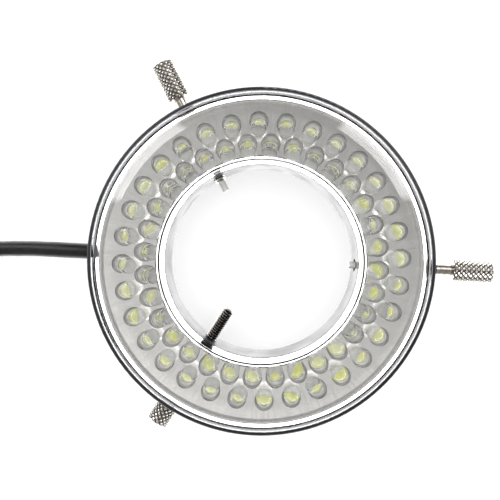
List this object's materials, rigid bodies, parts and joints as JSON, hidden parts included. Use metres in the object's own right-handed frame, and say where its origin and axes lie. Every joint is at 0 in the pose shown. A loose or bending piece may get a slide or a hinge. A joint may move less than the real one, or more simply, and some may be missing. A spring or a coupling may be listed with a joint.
{
  "type": "microscope ring light",
  "caption": "Ring light for a stereo microscope: slanted LEDs under a clear domed cover, a bore gripped by knurled thumbscrews, and a cord with a barrel plug.",
  "frame": {"origin": "centre of the ring's rear face, on the axis of its bore", "axes": "+Z along the bore towards the LED face, +X towards the thumbscrew at the right of the picture, +Y up in the picture; the cord leaves near -X"},
  "size_m": [0.2519, 0.1549, 0.026],
  "materials": {
    "black_plastic": "semi-gloss black moulding",
    "rear_plastic": "fine-grained black moulding",
    "black_steel": "black oxide",
    "clear_plastic": "clear polished plastic",
    "led_epoxy": "clear epoxy",
    "tinned_lead": "tinned",
    "phosphor": "matt yellow-green phosphor",
    "bright_sheet": "bright brushed sheet",
    "board_laminate": "solder mask over glass laminate",
    "zinc_steel": "zinc plated",
    "resistor_ceramic": "black overcoat",
    "insert_brass": "machined",
    "head_nickel": "nickel plated, coarse knurl",
    "stud_steel": "dark bright steel",
    "tip_nylon": "natural nylon",
    "grommet_rubber": "matt black rubber",
    "cord_jacket": "satin black jacket",
    "clamp_plastic": "black nylon",
    "red_insulation": "red wire insulation",
    "black_insulation": "black wire insulation",
    "plug_plastic": "moulded black plastic",
    "plug_nickel": "nickel plated",
    "plug_insulation": "moulded insulator"
  },
  "bodies": {
    "root": {"housing": "black_plastic", "rear_plate": "rear_plastic", "rear_plate_screws": "black_steel", "front_cover": "clear_plastic", "outer_led_lenses": "led_epoxy", "inner_led_lenses": "led_epoxy", "outer_led_leads": "tinned_lead", "inner_led_leads": "tinned_lead", "led_phosphors": "phosphor", "reflector_plate": "bright_sheet", "led_board": "board_laminate", "board_screws": "zinc_steel", "limiting_resistors": "resistor_ceramic", "thread_inserts": "insert_brass", "cord_grommet": "grommet_rubber", "cord_entry": "cord_jacket", "cord_clamp": "clamp_plastic", "clamp_screws": "zinc_steel", "positive_wire": "red_insulation", "negative_wire": "black_insulation", "cord_coil": "cord_jacket", "cord_lead": "cord_jacket", "cord_tail": "cord_jacket", "plug_body": "plug_plastic", "plug_barrel": "plug_nickel", "plug_insulator": "plug_insulation", "plug_contact": "plug_nickel"},
    "right_tip": {"right_screw_tip": "tip_nylon"},
    "right_screw": {"right_screw_head": "head_nickel", "right_screw_stud": "stud_steel"},
    "upper_left_tip": {"upper_left_screw_tip": "tip_nylon"},
    "upper_left_screw": {"upper_left_screw_head": "head_nickel", "upper_left_screw_stud": "stud_steel"},
    "lower_left_tip": {"lower_left_screw_tip": "tip_nylon"},
    "lower_left_screw": {"lower_left_screw_head": "head_nickel", "lower_left_screw_stud": "stud_steel"}
  },
  "joints": [
    {"name": "right_screw_slide", "type": "slide", "parent": "root", "child": "right_tip", "axis": [0.9986, -0.0523, 0], "range_m": [-0.0124, 0.0023]},
    {"name": "right_screw_turn", "type": "hinge", "parent": "right_tip", "child": "right_screw", "pos_m": [0.05233, -0.00274, 0.0075], "axis": [0.9986, -0.0523, 0], "range_deg": [-5583.6, 1038.6]},
    {"name": "upper_left_screw_slide", "type": "slide", "parent": "root", "child": "upper_left_tip", "axis": [-0.454, 0.891, 0], "range_m": [-0.0093, 0.0054]},
    {"name": "upper_left_screw_turn", "type": "hinge", "parent": "upper_left_tip", "child": "upper_left_screw", "pos_m": [-0.02238, 0.04393, 0.0075], "axis": [-0.454, 0.891, 0], "range_deg": [-4188.6, 2433.6]},
    {"name": "lower_left_screw_slide", "type": "slide", "parent": "root", "child": "lower_left_tip", "axis": [-0.5446, -0.8387, 0], "range_m": [0, 0.0147]},
    {"name": "lower_left_screw_turn", "type": "hinge", "parent": "lower_left_tip", "child": "lower_left_screw", "pos_m": [-0.02179, -0.03355, 0.0075], "axis": [-0.5446, -0.8387, 0], "range_deg": [0, 6618.6]}
  ],
  "couplings": [
    {"joint": "right_screw_turn", "follows": "right_screw_slide", "rad_per_m": 7854},
    {"joint": "upper_left_screw_turn", "follows": "upper_left_screw_slide", "rad_per_m": 7854},
    {"joint": "lower_left_screw_turn", "follows": "lower_left_screw_slide", "rad_per_m": 7854}
  ]
}
